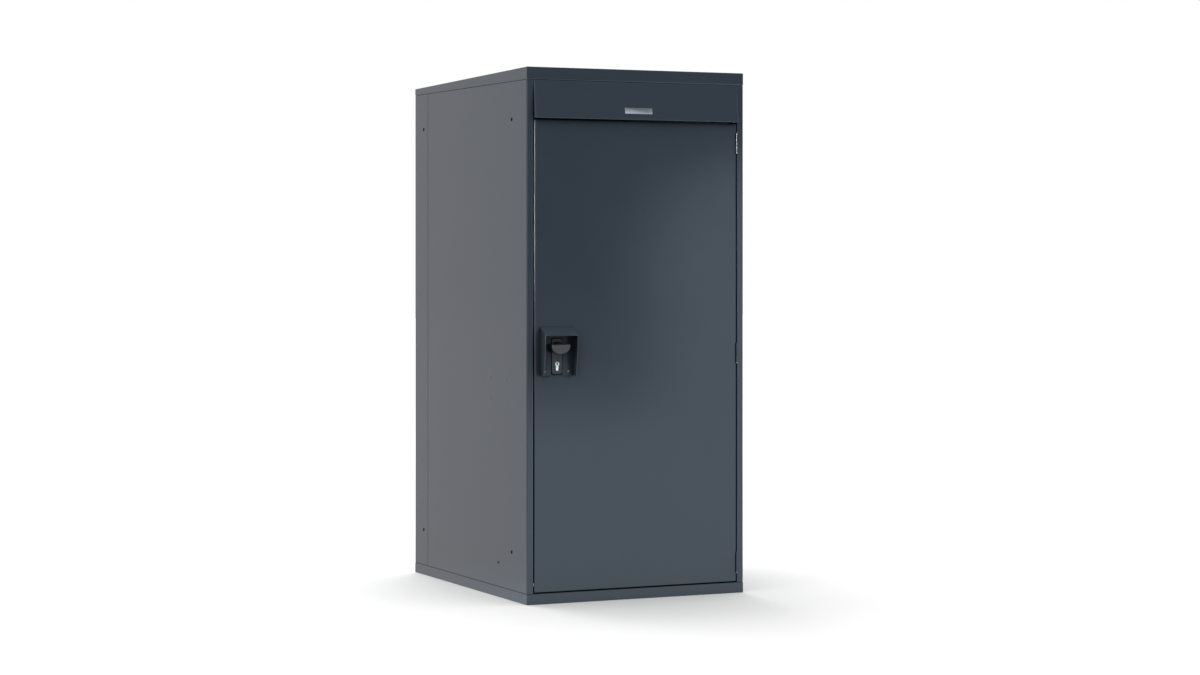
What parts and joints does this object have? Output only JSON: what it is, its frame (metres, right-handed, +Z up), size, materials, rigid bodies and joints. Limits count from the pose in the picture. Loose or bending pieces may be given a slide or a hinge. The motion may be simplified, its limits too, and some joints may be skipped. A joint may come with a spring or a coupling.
{
  "type": "bicycle locker",
  "caption": "Upright steel bicycle locker with a sloping lid, raked fascia, hooded turn-handle lock and one full-height hinged door.",
  "frame": {"origin": "centre of the cabinet's 885 by 1120 mm footprint, on the ground, on the underside of the middle base rail", "axes": "+X to the right when facing the door, -Y out of the door, +Z up"},
  "size_m": [0.8874, 1.1703, 1.95],
  "materials": {
    "cabinet_paint": "satin anthracite blue-grey powder coat with a very fine orange peel",
    "bright_zinc": "bright zinc plate",
    "satin_nickel": "satin nickel plate",
    "black_coat": "fine-textured black powder coat on a zinc casting",
    "black_plastic": "fine-grained black glass-filled moulding",
    "black_rubber": "matt black rubber",
    "pale_nylon": "natural nylon"
  },
  "bodies": {
    "cabinet": {"base_pan": "cabinet_paint", "base_rail_front": "bright_zinc", "base_rail_middle": "bright_zinc", "base_rail_rear": "bright_zinc", "left_side_panel": "cabinet_paint", "right_side_panel": "cabinet_paint", "back_panel": "cabinet_paint", "roof_lid": "cabinet_paint", "roof_brace_front": "cabinet_paint", "roof_brace_rear": "cabinet_paint", "front_fascia": "cabinet_paint", "header_rail": "cabinet_paint", "upper_rod_keep": "bright_zinc", "lower_rod_keep": "bright_zinc", "hinge_frame_leaf_lower": "cabinet_paint", "hinge_frame_leaf_middle": "cabinet_paint", "hinge_frame_leaf_upper": "cabinet_paint", "hinge_pin_lower": "bright_zinc", "hinge_pin_middle": "bright_zinc", "hinge_pin_upper": "bright_zinc", "door_buffer_lower": "black_rubber", "door_buffer_upper": "black_rubber", "door_glide_pad": "pale_nylon", "wheel_hook": "bright_zinc", "hook_sleeve": "black_rubber", "wheel_channel": "bright_zinc", "anchor_plate": "cabinet_paint", "anchor_loop": "bright_zinc"},
    "door": {"door_skin": "cabinet_paint", "door_stiffener_lower": "cabinet_paint", "door_stiffener_middle": "cabinet_paint", "door_stiffener_upper": "cabinet_paint", "hinge_door_leaf_lower": "cabinet_paint", "hinge_door_leaf_middle": "cabinet_paint", "hinge_door_leaf_upper": "cabinet_paint", "upper_rod_guide": "bright_zinc", "lower_rod_guide": "bright_zinc", "lock_hood": "cabinet_paint", "hood_rivet_left": "bright_zinc", "hood_rivet_right": "bright_zinc", "escutcheon": "black_plastic", "lock_cylinder": "satin_nickel", "lock_case": "bright_zinc", "lock_case_cover": "bright_zinc"},
    "handle": {"turn_handle": "black_coat", "handle_spindle": "bright_zinc", "drive_pinion": "bright_zinc"},
    "upper_rod": {"upper_rod": "bright_zinc"},
    "lower_rod": {"lower_rod": "bright_zinc"},
    "key_plug": {"cylinder_plug": "satin_nickel", "cylinder_cam": "satin_nickel"},
    "deadlock": {"deadlock_slide": "bright_zinc"}
  },
  "joints": [
    {"name": "door_hinge", "type": "hinge", "parent": "cabinet", "child": "door", "pos_m": [0.4145, -0.5638, 0.9], "axis": [0, 0, 1], "range_deg": [0, 170]},
    {"name": "upper_rod_slide", "type": "slide", "parent": "door", "child": "upper_rod", "axis": [0, 0, 1], "range_m": [0, 0.02199]},
    {"name": "lower_rod_slide", "type": "slide", "parent": "door", "child": "lower_rod", "axis": [0, 0, -1], "range_m": [0, 0.022]},
    {"name": "handle_turn", "type": "hinge", "parent": "door", "child": "handle", "pos_m": [-0.3255, -0.58, 0.9435], "axis": [0, 1, 0], "range_deg": [0, 90]},
    {"name": "deadlock_lift", "type": "slide", "parent": "door", "child": "deadlock", "axis": [0, 0, 1], "range_m": [0, 0.004]},
    {"name": "key_turn", "type": "hinge", "parent": "door", "child": "key_plug", "pos_m": [-0.3255, -0.555, 0.8715], "axis": [0, 1, 0], "range_deg": [0, 90]}
  ],
  "couplings": [
    {"joint": "handle_turn", "follows": "upper_rod_slide", "rad_per_m": 71.428},
    {"joint": "lower_rod_slide", "follows": "upper_rod_slide", "ratio": 1},
    {"joint": "key_turn", "follows": "deadlock_lift", "rad_per_m": 392.69}
  ]
}
